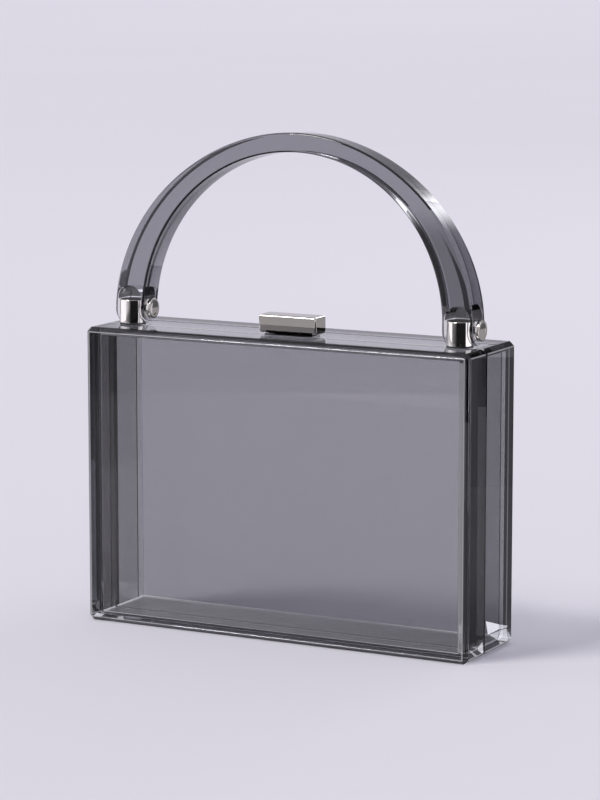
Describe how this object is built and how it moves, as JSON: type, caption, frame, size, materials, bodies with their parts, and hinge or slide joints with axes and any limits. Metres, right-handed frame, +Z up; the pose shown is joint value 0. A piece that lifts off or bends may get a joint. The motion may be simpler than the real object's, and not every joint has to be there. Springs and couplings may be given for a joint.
{
  "type": "box clutch",
  "caption": "Clear smoked acrylic box clutch in halves hinged at the foot of the seam, with an arched swing handle on metal posts and a bar clasp on top.",
  "frame": {"origin": "on the ground, at the middle of the bag's length and depth", "axes": "+Z up, +X along the bag's length to the right as seen from the front, -Y towards the front"},
  "size_m": [0.2, 0.052, 0.2358],
  "materials": {
    "acrylic": "polished smoked clear acrylic",
    "handle_acrylic": "polished smoked clear acrylic",
    "metal": "mirror polished, warm silver",
    "washer": "black rubber"
  },
  "bodies": {
    "back": {"back_shell": "acrylic", "hinge_rod": "acrylic", "post_left": "metal", "post_right": "metal", "washer_left": "washer", "washer_right": "washer", "clasp_foot": "metal"},
    "front": {"front_shell": "acrylic", "strike_plate": "metal"},
    "handle": {"handle": "handle_acrylic", "pin_left": "metal", "pin_right": "metal"},
    "clasp": {"clasp_bar": "metal"}
  },
  "joints": [
    {"name": "front_hinge", "type": "hinge", "parent": "back", "child": "front", "pos_m": [0, -0.0066, 0.0016], "axis": [1, 0, 0], "range_deg": [0, 85]},
    {"name": "handle_swing", "type": "hinge", "parent": "back", "child": "handle", "pos_m": [0, -0.0016, 0.1495], "axis": [1, 0, 0], "range_deg": [-87, 92]},
    {"name": "clasp_flip", "type": "hinge", "parent": "back", "child": "clasp", "pos_m": [0, -0.0003, 0.1436], "axis": [-1, 0, 0], "range_deg": [0, 80]}
  ]
}
